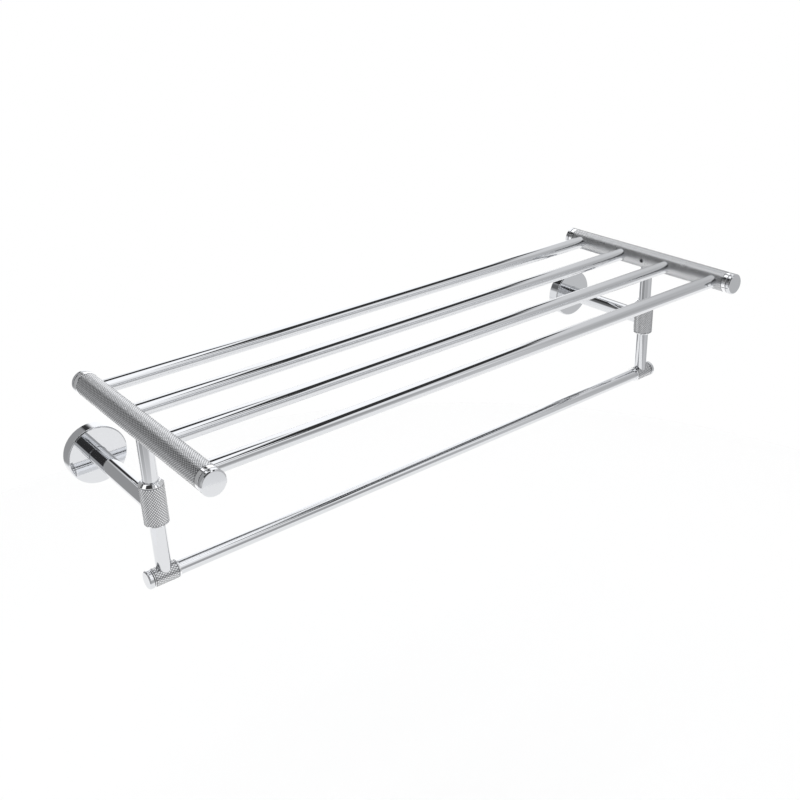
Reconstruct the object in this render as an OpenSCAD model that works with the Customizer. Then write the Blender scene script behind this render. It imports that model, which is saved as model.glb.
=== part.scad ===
// Wall-mounted towel rack: a four-rail shelf between two side tubes, with a towel bar below.
// X runs along the rails, the wall is the plane Y = 0, and the rack stands out towards -Y.
// The origin is on the wall, midway between the two arms and at their height.

/* [Overall] */
// Width over the two side tubes
overall_width = 610; // [450:10:800]
// Length of each side tube over its end caps
shelf_depth = 224; // [216:2:230]
// Distance from the wall to the posts and the towel bar
post_reach = 119; // [117:1:150]
// Height of the shelf rails above the arms
shelf_rise = 68.5; // [50:0.5:100]
// Depth of the towel bar below the arms
bar_drop = 65.5; // [45:0.5:120]

/* [Tubes] */
// Outer diameter of the shelf rails, the posts and the towel bar
rail_d = 12.7; // [10:0.1:14]
// Distance between neighbouring shelf rails
rail_pitch = 60; // [50:1:60]
// Outer diameter of the side tubes
side_tube_d = 20.8; // [20:0.1:24]
// Outer diameter of the arms that reach from the wall
arm_d = 15.9; // [15:0.1:17]
// Wall thickness of every hollow tube
tube_wall = 1.2; // [0.8:0.1:2]

/* [Collars and sleeves] */
// Outer diameter of the collar round each post
collar_d = 20.4; // [19:0.1:24]
// Height of the collar's top face above the arm's axis
collar_top = 22.2; // [20:0.1:30]
// Depth of the collar's bottom face below the arm's axis
collar_bottom = 16.8; // [12:0.1:30]
// Outer diameter of the sleeve at each end of the towel bar
sleeve_d = 15.8; // [15.8:0.1:18]
// Length of each sleeve without its cap
sleeve_len = 23; // [22:0.5:28]

/* [Caps] */
// Thickness of the polished head of every end cap
cap_head = 4; // [3:0.1:6]
// Width of the groove behind every cap head
cap_groove = 0.8; // [0.4:0.1:1.2]
// Chamfer round the face of every cap head
cap_chamfer = 0.9; // [0.4:0.1:1.2]

/* [Wall fixing] */
// Diameter of each rosette
rosette_d = 53; // [52:0.5:64]
// Thickness of each rosette
rosette_t = 12; // [11:0.1:16]
// Diameter of each wall plate
plate_d = 46.6; // [44:0.1:46.6]
// Thickness of each wall plate
plate_t = 6; // [5:0.1:7]
// Vertical distance between the two screw holes of a plate
screw_spacing = 30; // [28:1:34]
// Diameter of each wall screw hole
screw_hole_d = 5; // [4:0.1:5.5]

/* [Hidden] */

$fn = 96;

chrome = [0.80, 0.81, 0.83];
knurled_chrome = [0.62, 0.64, 0.66];
zinc_steel = [0.50, 0.50, 0.48];
black_steel = [0.15, 0.15, 0.16];

rail_r = rail_d / 2;
side_r = side_tube_d / 2;
arm_r = arm_d / 2;
collar_r = collar_d / 2;
sleeve_r = sleeve_d / 2;
rosette_r = rosette_d / 2;

// Half the distance between the left and right pieces' axes
half_span = (overall_width - side_tube_d) / 2;
post_y = -post_reach;
shelf_z = shelf_rise;
bar_z = -bar_drop;
side_tube_len = shelf_depth - 2 * (cap_head + cap_groove);

// A slip clearance round each tube in its socket, and round each screw in its thread
slip = 0.05;
rail_socket = 5;
post_socket_over = 4;
bar_socket = 6;
sleeve_inner_x = 11.5;

// M6 studs and M4 set screws
stud_r = 3;
set_screw_r = 2;
set_screw_key = 2;
set_screw_key_depth = 1.5;
cap_stud_len = 7;
sleeve_cap_stud_len = 5;
tap_spare = 1;

post_plug = 24;
post_tap_top = 18;
post_stud_low = -3;
arm_front_plug = 24;
arm_stud_out = 22;
arm_rear_plug = 10;
arm_base_stud_len = 7;
plate_recess = 2;
cavity_gap = 0.3;
rosette_face = 1.8;
rosette_chamfer = 0.8;
collar_top_chamfer = 2.4;
collar_bottom_bevel = 1.2;
sleeve_edge = 0.5;
set_screw_sink = 0.6;

function rail_y(i) = post_y + (i - 2.5) * rail_pitch;

module along_x() {
    rotate([0, 90, 0]) children();
}

// Stands a shape that was drawn on +Z along +Y, towards the wall
module along_y() {
    rotate([-90, 0, 0]) children();
}

module tube(r, len, wall) {
    difference() {
        cylinder(r = r, h = len);
        translate([0, 0, -1]) cylinder(r = r - wall, h = len + 2);
    }
}

// A straight round bar with a chamfer at each end
module chamfered_bar(r, len, low, high) {
    rotate_extrude() polygon([
        [0, 0], [r - low, 0], [r, low], [r, len - high], [r - high, len], [0, len]
    ]);
}

// Runs from the cap's face at z = 0 through its head, groove and stud towards +Z
module end_cap(r, stud_len) {
    neck_r = r - 1;
    head_end = cap_head;
    stud_start = cap_head + cap_groove;
    rotate_extrude() polygon([
        [0, 0], [r - cap_chamfer, 0], [r, cap_chamfer],
        [r, head_end], [neck_r, head_end], [neck_r, stud_start],
        [stud_r - slip, stud_start], [stud_r - slip, stud_start + stud_len],
        [0, stud_start + stud_len]
    ]);
}

// Its point is at z = 0 and its key socket opens towards +Z
module set_screw(len) {
    difference() {
        chamfered_bar(set_screw_r - slip, len, 0.4, 0);
        translate([0, 0, len - set_screw_key_depth])
            cylinder(d = set_screw_key, h = set_screw_key_depth + 1, $fn = 6);
    }
}

module stud(len) {
    chamfered_bar(stud_r - slip, len, 0.5, 0.5);
}

module shelf_rail(i) {
    rail_half = half_span - side_r + rail_socket;
    color(chrome)
        translate([-rail_half, rail_y(i), shelf_z])
            along_x() tube(rail_r, 2 * rail_half, tube_wall);
}

// side is -1 for left and +1 for right
module side_tube(side) {
    socket_x = half_span - side_r + rail_socket;
    color(knurled_chrome) difference() {
        translate([side * half_span, post_y - side_tube_len / 2, shelf_z])
            along_y() cylinder(r = side_r, h = side_tube_len);
        // Rail sockets
        for (i = [1 : 4])
            translate([side * socket_x, rail_y(i), shelf_z])
                rotate([0, -side * 90, 0]) cylinder(r = rail_r + slip, h = side_r);
        // Post socket, open below
        translate([side * half_span, post_y, shelf_z - side_r - 1])
            cylinder(r = rail_r + slip, h = side_r + 1 + post_socket_over);
        // Set screw thread
        translate([side * half_span, post_y, shelf_z])
            rotate([0, -side * 90, 0]) cylinder(r = set_screw_r, h = side_r + 1);
        // Cap stud threads
        for (end = [-1, 1])
            translate([side * half_span, post_y + end * side_tube_len / 2, shelf_z])
                along_y()
                    translate([0, 0, -cap_stud_len - tap_spare])
                        cylinder(r = stud_r, h = 2 * (cap_stud_len + tap_spare));
    }
}

// end is -1 for front and +1 for rear
module tube_cap(side, end) {
    color(chrome)
        translate([side * half_span, post_y + end * shelf_depth / 2, shelf_z])
            rotate([end * 90, 0, 0]) end_cap(side_r, cap_stud_len);
}

module post(side) {
    top = shelf_z + post_socket_over;
    color(chrome) difference() {
        translate([side * half_span, post_y, bar_z])
            cylinder(r = rail_r, h = top - bar_z);
        translate([side * half_span, post_y, bar_z + post_plug])
            cylinder(r = rail_r - tube_wall, h = top - bar_z);
        // Saddle over the sleeve
        translate([side * half_span - 2 * sleeve_r, post_y, bar_z])
            along_x() cylinder(r = sleeve_r, h = 4 * sleeve_r);
        // Thread for the stud below
        translate([side * half_span, post_y, bar_z])
            cylinder(r = stud_r, h = post_tap_top + tap_spare);
    }
}

module collar(side) {
    color(knurled_chrome) difference() {
        translate([side * half_span, post_y, -collar_bottom])
            chamfered_bar(collar_r, collar_top + collar_bottom, collar_bottom_bevel, collar_top_chamfer);
        translate([side * half_span, post_y, -collar_bottom - 1])
            cylinder(r = rail_r + slip, h = collar_top + collar_bottom + 2);
        // Thread for the arm's stud
        translate([side * half_span, post_y, 0])
            along_y() cylinder(r = stud_r, h = collar_r + 1);
    }
}

module arm(side) {
    rear = -plate_t + plate_recess;
    color(chrome) difference() {
        translate([side * half_span, post_y, 0])
            along_y() cylinder(r = arm_r, h = post_reach + rear);
        // Saddle against the collar
        translate([side * half_span, post_y, -2 * arm_r])
            cylinder(r = collar_r, h = 4 * arm_r);
        // Hollow middle
        translate([side * half_span, post_y + arm_front_plug, 0])
            along_y()
                cylinder(r = arm_r - tube_wall, h = post_reach + rear - arm_front_plug - arm_rear_plug);
        // Threads in the two solid ends
        translate([side * half_span, post_y, 0])
            along_y() cylinder(r = stud_r, h = arm_stud_out + tap_spare);
        translate([side * half_span, rear - arm_base_stud_len - tap_spare, 0])
            along_y() cylinder(r = stud_r, h = 2 * (arm_base_stud_len + tap_spare));
    }
}

module rosette(side) {
    cavity_r = plate_d / 2 + cavity_gap;
    color(chrome) difference() {
        translate([side * half_span, -rosette_t, 0])
            along_y() chamfered_bar(rosette_r, rosette_t, rosette_chamfer, rosette_chamfer / 2);
        // Cavity over the wall plate, open to the wall
        translate([side * half_span, -rosette_t + rosette_face, 0])
            along_y() cylinder(r = cavity_r, h = rosette_t);
        // Hole for the arm
        translate([side * half_span, -rosette_t - 1, 0])
            along_y() cylinder(r = arm_r + 2 * slip, h = rosette_t);
        // Set screw thread underneath
        translate([side * half_span, -plate_t / 2, -rosette_r - 1])
            cylinder(r = set_screw_r, h = rosette_r - cavity_r + 2);
    }
}

module wall_plate(side) {
    color(zinc_steel) difference() {
        translate([side * half_span, -plate_t, 0])
            along_y() chamfered_bar(plate_d / 2, plate_t, 0.4, 0);
        // Seat for the end of the arm
        translate([side * half_span, -plate_t - 1, 0])
            along_y() cylinder(r = arm_r + slip, h = plate_recess + 1);
        // Thread for the arm's base stud
        translate([side * half_span, -plate_t - 1, 0])
            along_y() cylinder(r = stud_r, h = plate_t + 2);
        for (end = [-1, 1])
            translate([side * half_span, -plate_t - 1, end * screw_spacing / 2])
                along_y() cylinder(d = screw_hole_d, h = plate_t + 2);
    }
}

module bar_sleeve(side) {
    inner_x = half_span - sleeve_inner_x;
    outer_x = inner_x + sleeve_len;
    color(knurled_chrome) difference() {
        translate([side * inner_x, post_y, bar_z])
            rotate([0, side * 90, 0]) chamfered_bar(sleeve_r, sleeve_len, sleeve_edge, 0);
        // Socket for the towel bar
        translate([side * (inner_x - 1), post_y, bar_z])
            rotate([0, side * 90, 0]) cylinder(r = rail_r + slip, h = bar_socket + 1);
        // Thread for the post's stud
        translate([side * half_span, post_y, bar_z + post_stud_low - tap_spare])
            cylinder(r = stud_r, h = 2 * sleeve_r);
        // Thread for the cap's stud
        translate([side * (outer_x - sleeve_cap_stud_len - tap_spare), post_y, bar_z])
            rotate([0, side * 90, 0]) cylinder(r = stud_r, h = 2 * sleeve_cap_stud_len);
    }
}

module sleeve_cap(side) {
    face_x = half_span - sleeve_inner_x + sleeve_len + cap_groove + cap_head;
    color(chrome)
        translate([side * face_x, post_y, bar_z])
            rotate([0, -side * 90, 0]) end_cap(sleeve_r, sleeve_cap_stud_len);
}

module towel_bar() {
    bar_half = half_span - sleeve_inner_x + bar_socket;
    color(chrome)
        translate([-bar_half, post_y, bar_z])
            along_x() tube(rail_r, 2 * bar_half, tube_wall);
}

module tube_set_screws() {
    color(black_steel)
        for (side = [-1, 1])
            translate([side * (half_span - rail_r), post_y, shelf_z])
                rotate([0, -side * 90, 0]) set_screw(side_r - rail_r - set_screw_sink);
}

module rosette_set_screws() {
    color(black_steel)
        for (side = [-1, 1])
            translate([side * half_span, -plate_t / 2, -plate_d / 2])
                rotate([180, 0, 0]) set_screw(rosette_r - plate_d / 2 - set_screw_sink);
}

module arm_studs() {
    color(zinc_steel)
        for (side = [-1, 1])
            translate([side * half_span, post_y + rail_r + slip, 0])
                along_y() stud(arm_stud_out - rail_r - slip);
}

module arm_base_studs() {
    rear = -plate_t + plate_recess;
    color(zinc_steel)
        for (side = [-1, 1])
            translate([side * half_span, rear - arm_base_stud_len, 0])
                along_y() stud(arm_base_stud_len - rear - tap_spare);
}

module post_studs() {
    color(zinc_steel)
        for (side = [-1, 1])
            translate([side * half_span, post_y, bar_z + post_stud_low])
                stud(post_tap_top - post_stud_low);
}

shelf_rail(1);  // shelf_rail_1
shelf_rail(2);  // shelf_rail_2
shelf_rail(3);  // shelf_rail_3
shelf_rail(4);  // shelf_rail_4
side_tube(-1);  // side_tube_left
side_tube(1);  // side_tube_right
tube_cap(-1, -1);  // tube_cap_front_left
tube_cap(1, -1);  // tube_cap_front_right
tube_cap(-1, 1);  // tube_cap_rear_left
tube_cap(1, 1);  // tube_cap_rear_right
post(-1);  // post_left
post(1);  // post_right
collar(-1);  // collar_left
collar(1);  // collar_right
arm(-1);  // arm_left
arm(1);  // arm_right
rosette(-1);  // rosette_left
rosette(1);  // rosette_right
wall_plate(-1);  // wall_plate_left
wall_plate(1);  // wall_plate_right
bar_sleeve(-1);  // bar_sleeve_left
bar_sleeve(1);  // bar_sleeve_right
sleeve_cap(-1);  // sleeve_cap_left
sleeve_cap(1);  // sleeve_cap_right
towel_bar();
tube_set_screws();
rosette_set_screws();
arm_studs();
arm_base_studs();
post_studs();
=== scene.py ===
"""The looks of a wall-mounted chrome towel rack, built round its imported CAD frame.

Every turned piece is a lathe mesh with rounded edges, and the side tubes, collars and sleeves
carry a real diamond knurl. The CAD keeps the plates, studs and set screws.
"""
import math

import bmesh
import bpy
from mathutils import Matrix, Vector


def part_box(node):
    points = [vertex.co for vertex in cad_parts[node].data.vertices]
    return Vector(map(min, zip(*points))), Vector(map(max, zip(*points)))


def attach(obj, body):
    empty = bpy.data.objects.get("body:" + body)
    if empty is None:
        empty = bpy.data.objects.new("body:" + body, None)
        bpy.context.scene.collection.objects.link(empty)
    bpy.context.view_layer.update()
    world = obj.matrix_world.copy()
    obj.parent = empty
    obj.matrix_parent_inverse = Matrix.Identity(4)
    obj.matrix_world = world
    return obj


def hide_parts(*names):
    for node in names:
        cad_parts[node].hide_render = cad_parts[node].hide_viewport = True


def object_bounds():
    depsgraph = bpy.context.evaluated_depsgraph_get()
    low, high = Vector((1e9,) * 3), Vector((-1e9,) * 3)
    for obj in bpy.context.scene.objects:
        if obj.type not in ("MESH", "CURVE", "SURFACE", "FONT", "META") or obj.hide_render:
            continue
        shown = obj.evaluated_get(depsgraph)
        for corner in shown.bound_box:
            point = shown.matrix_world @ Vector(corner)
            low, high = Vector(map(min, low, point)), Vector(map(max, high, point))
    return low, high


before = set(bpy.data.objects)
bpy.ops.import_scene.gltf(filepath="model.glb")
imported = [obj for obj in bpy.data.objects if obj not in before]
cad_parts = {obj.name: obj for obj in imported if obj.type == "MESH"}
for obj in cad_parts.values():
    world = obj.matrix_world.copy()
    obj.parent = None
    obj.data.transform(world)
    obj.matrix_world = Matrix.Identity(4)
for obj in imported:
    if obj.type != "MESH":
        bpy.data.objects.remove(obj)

MM = 0.001
cad_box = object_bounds()

# Edges and bands, in metres. A cap's groove is painted dark as shade between two distances past the head.
EDGE = 0.35 * MM
FINE_EDGE = 0.25 * MM
CAP_HEAD = 4 * MM
CAP_CHAMFER = 0.9 * MM
CAP_NECK_CUT = 1.3 * MM
CAP_NECK_LENGTH = 1.6 * MM
CAP_GROOVE_SHADE = (0.24 * MM, 2.4 * MM)
RING = 4.2 * MM
SLEEVE_RING = 0.9 * MM
COLLAR_TOP_CHAMFER = 2.4 * MM
COLLAR_BOTTOM_BEVEL = 1.2 * MM
ROSETTE_FACE = 1.8 * MM
ROSETTE_CHAMFER = 0.8 * MM
ROSETTE_RIM = 2.9 * MM
ARM_CLEARANCE = 0.1 * MM
SCREW_BORE_R = 2 * MM
SCREW_BORE_DEPTH = 4 * MM
SADDLE_SINK = 0.4 * MM

# The knurl: the spacing of its crests round a piece and along it, and its depth
KNURL_PITCH = 2.2 * MM
KNURL_LENGTH = 2.7 * MM
KNURL_DEPTH = 0.31 * MM
KNURL_RUNOUT = 0.3 * MM
SLEEVE_KNURL = 1.15

# Meshes: a rounding takes at most a share of the edge beside it, and a holding point follows it
SMOOTH_SEGMENTS = 96
ROSETTE_SEGMENTS = 160
BORE_SEGMENTS = 40
FLOOR_SEGMENTS = 128
ARC_STEPS = 4
ARC_SHARE = 0.3
HOLDING_POINT = 1.5
SHARP_ANGLE = math.radians(40)
CREST = "crest"
KNURLED = "knurled"


# ---------------------------------------------------------------- mesh building

def soften(points, cut=EDGE):
    """Rounds every inner corner of an outline, with a holding point on each side of the arc."""
    out = [points[0]]
    for before, corner, after in zip(points, points[1:], points[2:]):
        before, corner, after = Vector(before), Vector(corner), Vector(after)
        back, ahead = before - corner, after - corner
        reach = min(cut, ARC_SHARE * back.length, ARC_SHARE * ahead.length)
        start = corner + back.normalized() * reach
        end = corner + ahead.normalized() * reach
        out.append(tuple(corner + back.normalized() * reach * HOLDING_POINT))
        for k in range(ARC_STEPS + 1):
            s = k / ARC_STEPS
            out.append(tuple(start * (1 - s) ** 2 + corner * 2 * s * (1 - s) + end * s ** 2))
        out.append(tuple(corner + ahead.normalized() * reach * HOLDING_POINT))
    out.append(points[-1])
    return out


def knurl_rings(start, end, radius, columns, coarseness=1.0):
    """Rings of a diamond knurl: the radii alternate along each ring and from ring to ring."""
    rows = max(2, 2 * round(abs(end - start) / (coarseness * KNURL_LENGTH)))
    rings = []
    for row in range(rows + 1):
        edge_row = row in (0, rows)
        high = radius - KNURL_DEPTH if edge_row else radius
        radii = [high if (row + i) % 2 else radius - KNURL_DEPTH for i in range(columns)]
        rings.append((start + (end - start) * row / rows, radii))
    return rings


def knurl_columns(radius, coarseness=1.0):
    return 2 * round(math.tau * radius / (coarseness * KNURL_PITCH))


def plain_rings(points, columns):
    return [(t, [r] * columns) for t, r in points]


def to_frame(axis, centre, t, r, angle):
    """A point at distance t along an axis and r from it, in the frame."""
    a, b = r * math.cos(angle), r * math.sin(angle)
    if axis == "X":
        return Vector((t, centre[1] + a, centre[2] + b))
    if axis == "Y":
        return Vector((centre[0] + a, t, centre[2] + b))
    return Vector((centre[0] + a, centre[1] + b, t))


def is_cut(ring):
    """Whether the radii of a ring alternate between crests and grooves."""
    radii = ring[1]
    return min(radii) < max(radii)


def side_faces(rings, closed):
    """Quads between plain rings, and in a knurl pairs of triangles, split along its grooves."""
    columns = len(rings[0][1])
    cut_rows = [k for k, ring in enumerate(rings) if is_cut(ring)]
    first_row = cut_rows[0] - 1 if cut_rows else 0
    spans = list(zip(range(len(rings)), range(1, len(rings))))
    if closed:
        spans.append((len(rings) - 1, 0))
    faces = []
    for low, high in spans:
        cut = is_cut(rings[low]) or is_cut(rings[high])
        for i in range(columns):
            j = (i + 1) % columns
            a, b = low * columns + i, low * columns + j
            c, d = high * columns + j, high * columns + i
            if not cut:
                faces.append((a, b, c, d))
            elif (low + i) % 2 == first_row % 2:
                faces += [(a, b, c), (a, c, d)]
            else:
                faces += [(a, b, d), (b, c, d)]
    return faces


def mark_knurl(mesh, rings, groove):
    """Says at each point whether it is on a knurled stretch, and whether it is a crest or in a groove,
    where the metal takes painted shade.
    """
    columns = len(rings[0][1])
    crests = mesh.attributes.new(CREST, "FLOAT", "POINT").data
    knurled = mesh.attributes.new(KNURLED, "FLOAT", "POINT").data
    for crest in crests:
        crest.value = 1.0
    cut_rows = [k for k, ring in enumerate(rings) if is_cut(ring)]
    outer = max(max(radii) for _, radii in rings)
    for k, (t, radii) in enumerate(rings):
        in_knurl = bool(cut_rows) and cut_rows[0] - 1 <= k <= cut_rows[-1] + 1
        # Points in a knurl's grooves or in a cap's groove band get crest 0, which the metal paints dark as
        # shade.
        in_groove_shade = groove and min(groove) < t < max(groove)
        for i, r in enumerate(radii):
            knurled[k * columns + i].value = 1.0 if in_knurl else 0.0
            if in_groove_shade or (in_knurl and r < outer - KNURL_DEPTH / 2):
                crests[k * columns + i].value = 0.0


def turned(name, axis, centre, rings, closed=False, groove=None):
    """A turned piece from rings of (distance along the axis, radii), closed on itself or at its ends.

    groove holds the two distances between which the surface lies in a groove and is painted dark as shade.
    """
    columns = len(rings[0][1])
    points = []
    for t, radii in rings:
        for i, r in enumerate(radii):
            points.append(to_frame(axis, centre, t, r, math.tau * i / columns))
    faces = side_faces(rings, closed)
    if not closed:
        for ring, flip in ((0, True), (len(rings) - 1, False)):
            points.append(to_frame(axis, centre, rings[ring][0], 0, 0))
            hub = len(points) - 1
            for i in range(columns):
                a, b = ring * columns + i, ring * columns + (i + 1) % columns
                faces.append((hub, b, a) if flip else (hub, a, b))
    mesh = bpy.data.meshes.new(name)
    mesh.from_pydata([tuple(p) for p in points], [], faces)
    mark_knurl(mesh, rings, groove)
    outward(mesh)
    return add_piece(name, mesh)


def outward(mesh):
    """Turns every face outwards, shades smooth and keeps real edges sharp."""
    bm = bmesh.new()
    bm.from_mesh(mesh)
    bmesh.ops.recalc_face_normals(bm, faces=bm.faces)
    bm.to_mesh(mesh)
    bm.free()
    mesh.shade_smooth()
    mesh.set_sharp_from_angle(angle=SHARP_ANGLE)


def add_piece(name, mesh):
    piece = bpy.data.objects.new(name, mesh)
    bpy.context.scene.collection.objects.link(piece)
    return piece


def drill(piece, axis, centre, start, end, radius):
    """Cuts a round hole from start to end along an axis."""
    rings = plain_rings([(start, radius), (end, radius)], BORE_SEGMENTS)
    tool = turned("drill", axis, centre, rings)
    cut = piece.modifiers.new("hole", "BOOLEAN")
    cut.operation = "DIFFERENCE"
    cut.solver = "EXACT"
    cut.object = tool
    done = bpy.data.meshes.new_from_object(piece.evaluated_get(bpy.context.evaluated_depsgraph_get()))
    piece.modifiers.clear()
    piece.data = done
    outward(done)
    bpy.data.objects.remove(tool)


def stand_for(piece, node, material):
    """The piece takes a CAD node's place, with its body and one material."""
    piece.data.materials.clear()
    piece.data.materials.append(material)
    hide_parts(node)
    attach(piece, "root")


def saddle(piece, along, across, end, middle_across, axis, seat):
    """Hollows a piece's low end to fit a cylinder of radius seat.

    along and across are the indices of the piece's own axis and of the one across it that isn't
    the cylinder's. The cylinder's axis is at the distance axis along the piece.
    """
    for v in piece.data.vertices:
        if v.co[along] < end + EDGE / 2:
            v.co[along] = axis + math.sqrt(max(0, seat ** 2 - (v.co[across] - middle_across) ** 2))
    outward(piece.data)


def middle(node):
    low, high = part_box(node)
    return (low + high) / 2


# ---------------------------------------------------------------- materials

class Nodes:
    """A small helper that adds and joins shader nodes."""

    def __init__(self, tree):
        self.tree = tree
        self.tree.nodes.clear()

    def add(self, kind, **values):
        node = self.tree.nodes.new(kind)
        for key, value in values.items():
            setattr(node, key, value)
        return node

    def link(self, source, target):
        self.tree.links.new(source, target)

    def math(self, operation, a, b=None):
        node = self.add("ShaderNodeMath", operation=operation)
        for socket, value in zip(node.inputs, (a, b)):
            if value is None:
                continue
            if isinstance(value, (int, float)):
                socket.default_value = value
            else:
                self.link(value, socket)
        return node.outputs[0]

    def step(self, value, low, high, start=0.0, end=1.0):
        """Rises smoothly from start to end as value goes from low to high."""
        node = self.add("ShaderNodeMapRange", interpolation_type="SMOOTHSTEP", clamp=True)
        self.link(value, node.inputs["Value"])
        node.inputs["From Min"].default_value = low
        node.inputs["From Max"].default_value = high
        node.inputs["To Min"].default_value = start
        node.inputs["To Max"].default_value = end
        return node.outputs["Result"]

    def noise(self, coordinates, scale, detail, stretch=(1, 1, 1)):
        mapping = self.add("ShaderNodeMapping")
        mapping.inputs["Scale"].default_value = stretch
        self.link(coordinates, mapping.inputs["Vector"])
        noise = self.add("ShaderNodeTexNoise")
        noise.inputs["Scale"].default_value = scale
        noise.inputs["Detail"].default_value = detail
        self.link(mapping.outputs["Vector"], noise.inputs["Vector"])
        return noise.outputs["Fac"]

    def mix_colour(self, factor, first, second):
        """Goes from the first colour to the second, each a fixed colour or a socket."""
        node = self.add("ShaderNodeMix", data_type="RGBA")
        self.link(factor, node.inputs["Factor"])
        for socket, colour in zip(node.inputs[6:8], (first, second)):
            if isinstance(colour, tuple):
                socket.default_value = (*colour, 1)
            else:
                self.link(colour, socket)
        return node.outputs[2]


TONE_SCALE = 45
TONE_DETAIL = 4
LINE_DETAIL = 6
POLISH_RANGE = (0.3, 0.7)
GROOVE_SHADE_RANGE = (0.0, 0.75)
BUMP_HEIGHT = 0.02 * MM


def metal(name, light, dark, roughness, lines_scale, grain, bump, groove=None, knurl_roughness=None):
    """A metal with slow tone changes, a patchy polish and fine lines.

    Grooves take a colour of painted shade, and knurled surfaces their own roughness.
    """
    material = bpy.data.materials.new(name)
    material.use_nodes = True
    nodes = Nodes(material.node_tree)
    output = nodes.add("ShaderNodeOutputMaterial")
    shader = nodes.add("ShaderNodeBsdfPrincipled")
    shader.inputs["Metallic"].default_value = 1.0
    nodes.link(shader.outputs["BSDF"], output.inputs["Surface"])
    place = nodes.add("ShaderNodeTexCoord").outputs["Object"]
    tones = nodes.noise(place, TONE_SCALE, TONE_DETAIL)
    lines = nodes.noise(place, lines_scale, LINE_DETAIL, grain)
    colour = nodes.mix_colour(tones, dark, light)
    # Painted shade: where the crest attribute falls towards 0, the colour goes to the groove's dark colour.
    if groove:
        crest = nodes.add("ShaderNodeAttribute", attribute_name=CREST).outputs["Fac"]
        colour = nodes.mix_colour(nodes.step(crest, *GROOVE_SHADE_RANGE), groove, colour)
    nodes.link(colour, shader.inputs["Base Color"])
    polish = nodes.math("MULTIPLY", nodes.math("ADD", tones, lines), 0.5)
    rough = nodes.step(polish, *POLISH_RANGE, *roughness)
    if knurl_roughness:
        on_knurl = nodes.add("ShaderNodeAttribute", attribute_name=KNURLED).outputs["Fac"]
        change = nodes.math("SUBTRACT", nodes.step(polish, *POLISH_RANGE, *knurl_roughness), rough)
        rough = nodes.math("ADD", rough, nodes.math("MULTIPLY", on_knurl, change))
    nodes.link(rough, shader.inputs["Roughness"])
    bumps = nodes.add("ShaderNodeBump")
    bumps.inputs["Strength"].default_value = bump
    bumps.inputs["Distance"].default_value = BUMP_HEIGHT
    nodes.link(lines, bumps.inputs["Height"])
    nodes.link(bumps.outputs["Normal"], shader.inputs["Normal"])
    return material


# Colours, and roughness from the best polished places to the least
CHROME_LIGHT = (0.77, 0.78, 0.80)
CHROME_DARK = (0.75, 0.76, 0.78)
# The groove colours are painted shade for knurl and cap grooves.
CHROME_GROOVE_SHADE = (0.12, 0.12, 0.13)
CHROME_POLISH = (0.02, 0.045)
# The knurled chrome's colours are painted lighter than the smooth chrome's, standing in for the light its
# facets catch.
KNURL_LIGHT = (0.97, 0.975, 0.985)
KNURL_DARK = (0.93, 0.935, 0.95)
KNURL_GROOVE_SHADE = (0.27, 0.275, 0.285)
KNURL_POLISH = (0.20, 0.29)

# The grain: lines run along an axis where it is stretched, and every way where it is even
FINE_LINES = 900
STRETCH = 0.05
EVEN = (1, 1, 1)


def chrome(name, grain, light=CHROME_LIGHT, dark=CHROME_DARK, groove=CHROME_GROOVE_SHADE, knurl_roughness=None):
    return metal(
        name, light, dark, roughness=CHROME_POLISH, lines_scale=FINE_LINES, grain=grain, bump=0.02,
        groove=groove, knurl_roughness=knurl_roughness,
    )


chrome_x = chrome("chrome_along_x", (STRETCH, 1, 1))
chrome_y = chrome("chrome_along_y", (1, STRETCH, 1))
chrome_z = chrome("chrome_along_z", (1, 1, STRETCH))
knurl_metal = chrome("knurled_chrome", EVEN, KNURL_LIGHT, KNURL_DARK, KNURL_GROOVE_SHADE, KNURL_POLISH)
zinc_metal = metal(
    "zinc_steel", light=(0.62, 0.62, 0.60), dark=(0.50, 0.50, 0.47), roughness=(0.30, 0.48),
    lines_scale=700, grain=EVEN, bump=0.3,
)
black_metal = metal(
    "black_steel", light=(0.10, 0.10, 0.11), dark=(0.05, 0.05, 0.06), roughness=(0.32, 0.5),
    lines_scale=FINE_LINES, grain=EVEN, bump=0.3,
)


# ---------------------------------------------------------------- pieces

def rail(node):
    low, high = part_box(node)
    radius = (high.z - low.z) / 2
    outline = soften([(low.x, 0), (low.x, radius), (high.x, radius), (high.x, 0)])
    rings = plain_rings(outline[1:-1], SMOOTH_SEGMENTS)
    stand_for(turned(node + "_look", "X", middle(node), rings), node, chrome_x)


def side_tube(side):
    node = "side_tube_" + side
    low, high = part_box(node)
    centre = middle(node)
    radius = (high.x - low.x) / 2
    columns = knurl_columns(radius)
    groove = radius - KNURL_DEPTH
    front_ring, rear_ring = low.y + RING, high.y - RING
    front = soften([(low.y, 0), (low.y, radius), (front_ring, radius), (front_ring + KNURL_RUNOUT, groove)])
    rear = soften([(rear_ring - KNURL_RUNOUT, groove), (rear_ring, radius), (high.y, radius), (high.y, 0)])
    start, end = front_ring + 2 * KNURL_RUNOUT, rear_ring - 2 * KNURL_RUNOUT
    rings = plain_rings(front[1:], columns) + knurl_rings(start, end, radius, columns)
    rings += plain_rings(rear[:-1], columns)
    piece = turned(node + "_look", "Y", centre, rings)
    inward = 1 if side == "left" else -1
    post = middle("post_" + side)
    drill(piece, "X", (0, post.y, centre.z), centre.x, centre.x + inward * 2 * radius, SCREW_BORE_R)
    stand_for(piece, node, knurl_metal)


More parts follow.
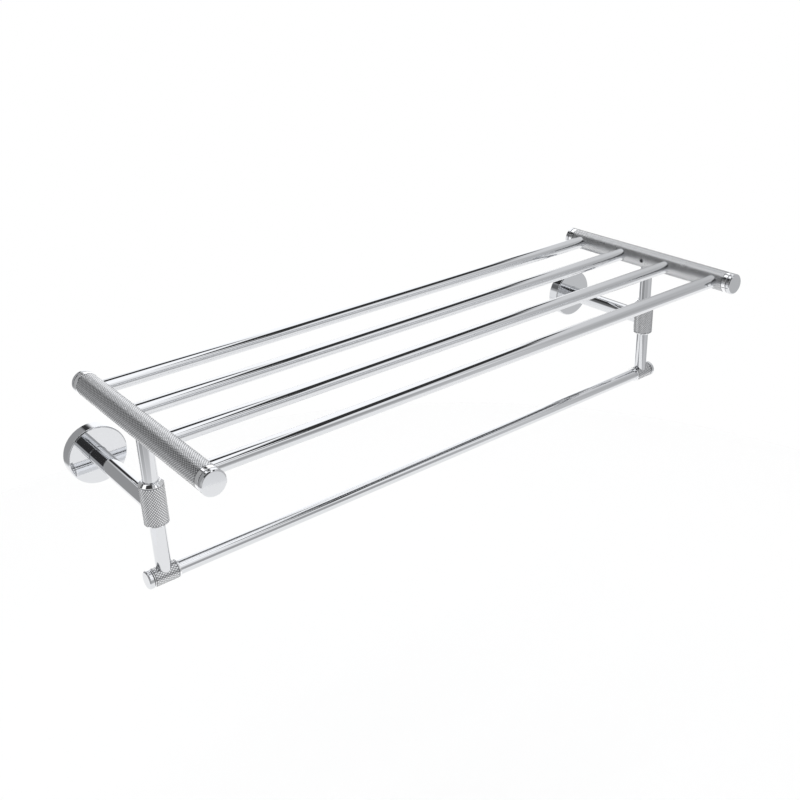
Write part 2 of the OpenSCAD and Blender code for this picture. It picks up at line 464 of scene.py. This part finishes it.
def cap(node, axis, face, inward, radius, material):
    """An end cap: a polished head with a chamfered face, and a neck whose groove is painted dark as shade.
    """
    def at(depth):
        return face + inward * depth
    neck = radius - CAP_NECK_CUT
    outline = soften([
        (at(0), 0), (at(0), radius - CAP_CHAMFER), (at(CAP_CHAMFER), radius),
        (at(CAP_HEAD), radius), (at(CAP_HEAD), neck), (at(CAP_HEAD + CAP_NECK_LENGTH), neck),
        (at(CAP_HEAD + CAP_NECK_LENGTH), 0),
    ], cut=FINE_EDGE)
    rings = plain_rings(outline[1:-1], SMOOTH_SEGMENTS)
    # The band where the groove's painted shade lies.
    groove = [at(CAP_HEAD + depth) for depth in CAP_GROOVE_SHADE]
    stand_for(turned(node + "_look", axis, middle(node), rings, groove=groove), node, material)


def tube_caps(side):
    for end in ("front", "rear"):
        node = f"tube_cap_{end}_{side}"
        low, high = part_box(node)
        radius = (high.x - low.x) / 2
        if end == "front":
            cap(node, "Y", low.y, 1, radius, chrome_y)
        else:
            cap(node, "Y", high.y, -1, radius, chrome_y)


def sleeve_cap(side):
    node = "sleeve_cap_" + side
    low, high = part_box(node)
    radius = (high.z - low.z) / 2
    if side == "left":
        cap(node, "X", low.x, 1, radius, chrome_x)
    else:
        cap(node, "X", high.x, -1, radius, chrome_x)


def post(side):
    """The post, with its foot hollowed to sit on the sleeve."""
    node = "post_" + side
    low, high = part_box(node)
    centre = middle(node)
    radius = (high.x - low.x) / 2
    sleeve_low, sleeve_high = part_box("bar_sleeve_" + side)
    seat = (sleeve_high.z - sleeve_low.z) / 2 - SADDLE_SINK
    axis_z = (sleeve_high.z + sleeve_low.z) / 2
    foot = axis_z - radius
    outline = soften([(foot, radius), (high.z, radius), (high.z, 0)])
    piece = turned(node + "_look", "Z", centre, plain_rings(outline[:-1], SMOOTH_SEGMENTS))
    saddle(piece, 2, 1, foot, centre.y, axis_z, seat)
    stand_for(piece, node, chrome_z)


def collar(side):
    node = "collar_" + side
    low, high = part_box(node)
    radius = (high.x - low.x) / 2
    post_low, post_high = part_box("post_" + side)
    bore = (post_high.x - post_low.x) / 2
    columns = knurl_columns(radius)
    groove = radius - KNURL_DEPTH
    bottom = soften([
        (low.z + EDGE, bore), (low.z, bore), (low.z, radius - COLLAR_BOTTOM_BEVEL),
        (low.z + COLLAR_BOTTOM_BEVEL, radius), (low.z + COLLAR_BOTTOM_BEVEL + KNURL_RUNOUT, groove),
    ])
    lip = high.z - COLLAR_TOP_CHAMFER
    top = soften([
        (lip - KNURL_RUNOUT, groove), (lip, radius), (high.z, radius - COLLAR_TOP_CHAMFER),
        (high.z, bore), (high.z - EDGE, bore),
    ])
    start, end = low.z + COLLAR_BOTTOM_BEVEL + 2 * KNURL_RUNOUT, lip - 2 * KNURL_RUNOUT
    rings = plain_rings(bottom, columns) + knurl_rings(start, end, radius, columns)
    rings += plain_rings(top, columns)
    piece = turned(node + "_look", "Z", middle(node), rings, closed=True)
    stand_for(piece, node, knurl_metal)


def bar_sleeve(side):
    node = "bar_sleeve_" + side
    low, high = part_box(node)
    radius = (high.z - low.z) / 2
    columns = knurl_columns(radius, SLEEVE_KNURL)
    groove = radius - KNURL_DEPTH
    inner, outer, inward = (high.x, low.x, 1) if side == "left" else (low.x, high.x, -1)
    ring_end = inner - inward * SLEEVE_RING
    runout = inward * KNURL_RUNOUT
    ring = soften([(inner, 0), (inner, radius), (ring_end, radius), (ring_end - runout, groove)])
    end = soften([(outer + runout, groove), (outer, groove), (outer, 0)])
    rings = plain_rings(ring[1:], columns)
    start, finish = ring_end - 2 * runout, outer + 2 * runout
    rings += knurl_rings(start, finish, radius, columns, SLEEVE_KNURL)
    rings += plain_rings(end[:-1], columns)
    stand_for(turned(node + "_look", "X", middle(node), rings), node, knurl_metal)


def arm(side):
    """The arm, with its front end hollowed to sit against the collar."""
    node = "arm_" + side
    low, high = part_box(node)
    centre = middle(node)
    radius = (high.x - low.x) / 2
    collar_low, collar_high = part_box("collar_" + side)
    seat = (collar_high.x - collar_low.x) / 2 - SADDLE_SINK
    axis_y = (collar_low.y + collar_high.y) / 2
    front = axis_y - radius
    outline = soften([(front, radius), (high.y, radius), (high.y, 0)])
    piece = turned(node + "_look", "Y", centre, plain_rings(outline[:-1], SMOOTH_SEGMENTS))
    saddle(piece, 1, 0, front, centre.x, axis_y, seat)
    stand_for(piece, node, chrome_y)


def rosette(side):
    """A hollow cover with a thin face, a hole for the arm and a set screw hole underneath."""
    node = "rosette_" + side
    low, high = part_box(node)
    centre = middle(node)
    radius = (high.x - low.x) / 2
    arm_low, arm_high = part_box("arm_" + side)
    hole = (arm_high.x - arm_low.x) / 2 + ARM_CLEARANCE
    cavity = radius - ROSETTE_RIM
    outline = soften([
        (high.y - EDGE, cavity), (high.y, cavity), (high.y, radius - ROSETTE_CHAMFER / 2),
        (high.y - ROSETTE_CHAMFER / 2, radius), (low.y + ROSETTE_CHAMFER, radius),
        (low.y, radius - ROSETTE_CHAMFER), (low.y, hole), (low.y + ROSETTE_FACE, hole),
        (low.y + ROSETTE_FACE, cavity), (high.y - 2 * EDGE, cavity),
    ], cut=FINE_EDGE)
    piece = turned(node + "_look", "Y", centre, plain_rings(outline, ROSETTE_SEGMENTS), closed=True)
    bore = (centre.x, middle("wall_plate_" + side).y, 0)
    drill(piece, "Z", bore, low.z - EDGE, low.z + SCREW_BORE_DEPTH, SCREW_BORE_R)
    stand_for(piece, node, chrome_y)


for number in range(1, 5):
    rail(f"shelf_rail_{number}")
rail("towel_bar")
for side in ("left", "right"):
    side_tube(side)
    tube_caps(side)
    post(side)
    collar(side)
    arm(side)
    rosette(side)
    bar_sleeve(side)
    sleeve_cap(side)

KEPT = {
    "wall_plate_left": zinc_metal, "wall_plate_right": zinc_metal,
    "arm_studs": zinc_metal, "arm_base_studs": zinc_metal, "post_studs": zinc_metal,
    "tube_set_screws": black_metal, "rosette_set_screws": black_metal,
}
for node, material in KEPT.items():
    for material_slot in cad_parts[node].material_slots:
        material_slot.material = material


# ---------------------------------------------------------------- studio

cad_middle = (cad_box[0] + cad_box[1]) / 2

FLOOR_DROP = 0.5
FLOOR_RADIUS = 1.15
FLOOR_COLOUR = (0.93, 0.93, 0.93)
FLOOR_ROUGHNESS = 0.9


def floor():
    """A round pale floor, well below the rack."""
    height = cad_box[0].z - FLOOR_DROP
    points = [(cad_middle.x, cad_middle.y, height)]
    for i in range(FLOOR_SEGMENTS):
        angle = math.tau * i / FLOOR_SEGMENTS
        points.append((
            cad_middle.x + FLOOR_RADIUS * math.cos(angle),
            cad_middle.y + FLOOR_RADIUS * math.sin(angle),
            height,
        ))
    faces = [(0, 1 + i, 1 + (i + 1) % FLOOR_SEGMENTS) for i in range(FLOOR_SEGMENTS)]
    mesh = bpy.data.meshes.new("floor")
    mesh.from_pydata(points, [], faces)
    piece = add_piece("floor", mesh)
    material = bpy.data.materials.new("pale_floor")
    material.use_nodes = True
    shader = material.node_tree.nodes["Principled BSDF"]
    shader.inputs["Base Color"].default_value = (*FLOOR_COLOUR, 1)
    shader.inputs["Roughness"].default_value = FLOOR_ROUGHNESS
    mesh.materials.append(material)


# What the metal reflects, as brightness by direction in the frame
STUDIO_TINT = (0.985, 0.99, 1.0)
OVERHEAD = 1.25
DARK = 0.04
# Patches: azimuths, elevations and softness in degrees, then brightness.
# Azimuth 0 is towards the wall and 90 towards +X.
PATCHES = [
    ((-200, 15), (-95, 34), 3, 1.15),
    ((10, 46), (-95, 46), 3, 1.25),
    ((128, 200), (-95, 20), 3, 0.64),
    ((129, 137), (-14, 20), 3, 0.50),
    ((145, 164), (-16, 9), 5, 0.42),
    ((138, 166), (15, 36), 3, 1.0),
    ((-118, 3), (-95, 34), 3, 0.36),
    ((-200, -118), (-95, 34), 8, 0.50),
    ((-165, -143), (-8, 30), 3, DARK),
    ((-200, -160), (26, 37), 3, DARK),
    ((165, 200), (26, 37), 3, DARK),
    ((-64, -43), (-32, 6), 4, 0.95),
    ((-64, -41), (14, 34), 3, 0.14),
    ((-60, -11), (33, 53), 2, DARK),
    ((1, 22), (27, 38), 3, DARK),
    ((-200, 200), (-95, -29), 3, 1.03),
]
# A ceiling plan: right is x / z and rear is y / z of a direction, so 1 is 45 degrees from straight up.
PLAN_LOWEST_Z = 0.02
# The lit wall right of the lamp, from its near edge to where it stops falling off
RIGHT_WALL = (0.80, 0.56)
RIGHT_WALL_FALL = (0.0, 0.5)
# The dark gap runs between the lamp's edge and the wall's. Each edge moves right by a slope times
# the distance past a start.
LAMP_EDGE = 0.50
LAMP_EDGE_REAR = (0.6, -0.2)
GAP_EDGE = 0.88
GAP_EDGE_REAR = (0.5, 0.2)
GAP_EDGE_FRONT = (0.3, 1.2)
GAP_NARROWING = 0.28
GAP_NARROWS = (0.88, 1.12)
GAP_SOFT = 0.03
# Straight edges on the plan: the place and the softness
GAP_FRONT_END = (-1.75, 0.1)
CORNER_FRONT = (0.06, 0.04)
CORNER_REAR = (0.75, 0.1)
CORNER_RIGHT = (0.50, 0.03)
CORNER_LEFT = (0.2, 0.1)
SHADE_RIGHT = (0.25, 0.05)
SHADE_REAR = (-0.30, 0.08)
SIDE_SHADE_RIGHT = (-0.05, 0.05)
SIDE_SHADE_REAR = (0.0, 0.08)
# What is on the plan fades in between two values of z
GAP_FADE = (0.2, 0.35)
SHADE_FADE = (0.48, 0.56)


def studio_light():
    """A white room with an overhead lamp, dark gaps round it and grey side walls.

    Metal reflects it. The camera and diffuse light see plain white instead.
    """
    world = bpy.data.worlds.new("studio")
    bpy.context.scene.world = world
    world.use_nodes = True
    nodes = Nodes(world.node_tree)
    direction = nodes.add("ShaderNodeTexCoord").outputs["Generated"]
    split = nodes.add("ShaderNodeSeparateXYZ")
    nodes.link(direction, split.inputs["Vector"])
    x, y, z = split.outputs
    azimuth = nodes.math("MULTIPLY", nodes.math("ARCTAN2", x, y), math.degrees(1))
    elevation = nodes.math("MULTIPLY", nodes.math("ARCSINE", z), math.degrees(1))

    def paint(brightness, mask, level):
        change = nodes.math("MULTIPLY", mask, nodes.math("SUBTRACT", level, brightness))
        return nodes.math("ADD", brightness, change)

    def above(value, edge, soft):
        return nodes.step(value, edge - soft, edge + soft)

    def below(value, edge, soft):
        return nodes.step(value, edge - soft, edge + soft, 1.0, 0.0)

    def all_of(first, *others):
        for other in others:
            first = nodes.math("MULTIPLY", first, other)
        return first

    def excess(value, slope, start):
        """Grows with the value past a start, and is nothing before it."""
        past = nodes.math("MAXIMUM", nodes.math("SUBTRACT", value, start), 0.0)
        return nodes.math("MULTIPLY", past, slope)

    height = nodes.math("MAXIMUM", z, PLAN_LOWEST_Z)
    right = nodes.math("DIVIDE", x, height)
    rear = nodes.math("DIVIDE", y, height)
    front = nodes.math("MULTIPLY", rear, -1.0)

    # The overhead lamp and the lit wall right of it, which falls off
    wall_shift = nodes.math("ADD", excess(rear, *GAP_EDGE_REAR), excess(front, *GAP_EDGE_FRONT))
    wall_edge = nodes.math("ADD", wall_shift, GAP_EDGE)
    narrowing = nodes.step(front, *GAP_NARROWS, 0.0, GAP_NARROWING)
    lamp_shift = nodes.math("ADD", excess(rear, *LAMP_EDGE_REAR), narrowing)
    lamp_edge = nodes.math("ADD", lamp_shift, LAMP_EDGE)
    past_wall_edge = nodes.math("SUBTRACT", right, wall_edge)
    past_lamp_edge = nodes.math("SUBTRACT", right, lamp_edge)
    wall = nodes.step(past_wall_edge, *RIGHT_WALL_FALL, *RIGHT_WALL)
    brightness = paint(OVERHEAD, above(past_wall_edge, 0.0, GAP_SOFT), wall)

    for azimuths, elevations, soft, level in PATCHES:
        patch = all_of(
            above(azimuth, azimuths[0], soft), below(azimuth, azimuths[1], soft),
            above(elevation, elevations[0], soft), below(elevation, elevations[1], soft),
        )
        brightness = paint(brightness, patch, level)

    # The dark gap right of the lamp
    gap = all_of(
        above(past_lamp_edge, 0.0, GAP_SOFT), below(past_wall_edge, 0.0, GAP_SOFT),
        above(rear, *GAP_FRONT_END), nodes.step(z, *GAP_FADE),
    )
    brightness = paint(brightness, gap, DARK)

    # The dark corner behind the lamp
    corner = all_of(
        above(rear, *CORNER_FRONT), below(rear, *CORNER_REAR),
        below(right, *CORNER_RIGHT), above(right, *CORNER_LEFT), nodes.step(z, *GAP_FADE),
    )
    brightness = paint(brightness, corner, DARK)

    # The unlit ceiling in front of the lamp and left of it
    ahead = all_of(below(right, *SHADE_RIGHT), below(rear, *SHADE_REAR))
    beside = all_of(below(right, *SIDE_SHADE_RIGHT), below(rear, *SIDE_SHADE_REAR))
    shade = all_of(nodes.math("MAXIMUM", ahead, beside), nodes.step(z, *SHADE_FADE))
    brightness = paint(brightness, shade, DARK)

    reflected = nodes.add("ShaderNodeBackground")
    reflected.inputs["Color"].default_value = (*STUDIO_TINT, 1)
    nodes.link(brightness, reflected.inputs["Strength"])
    backdrop = nodes.add("ShaderNodeBackground")
    backdrop.inputs["Color"].default_value = (1, 1, 1, 1)
    path = nodes.add("ShaderNodeLightPath")
    plain = nodes.math("MAXIMUM", path.outputs["Is Camera Ray"], path.outputs["Is Diffuse Ray"])
    chooser = nodes.add("ShaderNodeMixShader")
    nodes.link(plain, chooser.inputs["Fac"])
    nodes.link(reflected.outputs["Background"], chooser.inputs[1])
    nodes.link(backdrop.outputs["Background"], chooser.inputs[2])
    nodes.link(chooser.outputs["Shader"], nodes.add("ShaderNodeOutputWorld").inputs["Surface"])


SOFTBOX_SIZE = 2.4
SOFTBOX_POWER = 8
SOFTBOX_HEIGHT = 1.8


def softbox():
    """A large lamp overhead, which brightens the floor and isn't reflected."""
    light = bpy.data.lights.new("softbox", "AREA")
    light.shape = "SQUARE"
    light.size = SOFTBOX_SIZE
    light.energy = SOFTBOX_POWER
    lamp = bpy.data.objects.new("softbox", light)
    lamp.location = cad_middle + Vector((0, 0, SOFTBOX_HEIGHT))
    lamp.visible_glossy = False
    bpy.context.scene.collection.objects.link(lamp)


# The camera: where it stands from the middle of the rack, how it is turned, and its lens and sensor in mm
CAMERA_OFFSET = Vector((-0.5683, -0.6916, 0.4288))
CAMERA_AZIMUTH = math.radians(-38.38)
CAMERA_ELEVATION = math.radians(24.93)
CAMERA_ROLL = math.radians(-1.61)
CAMERA_LENS = 46.995
CAMERA_SENSOR = 36
CAMERA_SHIFT = (-0.025, -0.025)


def camera():
    data = bpy.data.cameras.new("camera")
    data.sensor_width = CAMERA_SENSOR
    data.lens = CAMERA_LENS
    data.shift_x, data.shift_y = CAMERA_SHIFT
    piece = bpy.data.objects.new("camera", data)
    bpy.context.scene.collection.objects.link(piece)
    a, e = CAMERA_AZIMUTH, CAMERA_ELEVATION
    back = Vector((math.sin(a) * math.cos(e), -math.cos(a) * math.cos(e), math.sin(e)))
    right = Vector((math.cos(a), math.sin(a), 0))
    up = back.cross(right)
    rolled_right = right * math.cos(CAMERA_ROLL) + up * math.sin(CAMERA_ROLL)
    rolled_up = up * math.cos(CAMERA_ROLL) - right * math.sin(CAMERA_ROLL)
    turn = Matrix((rolled_right, rolled_up, back)).transposed()
    piece.matrix_world = Matrix.Translation(cad_middle + CAMERA_OFFSET) @ turn.to_4x4()
    bpy.context.scene.camera = piece


floor()
studio_light()
softbox()
camera()
bpy.context.scene.view_settings.view_transform = "Standard"
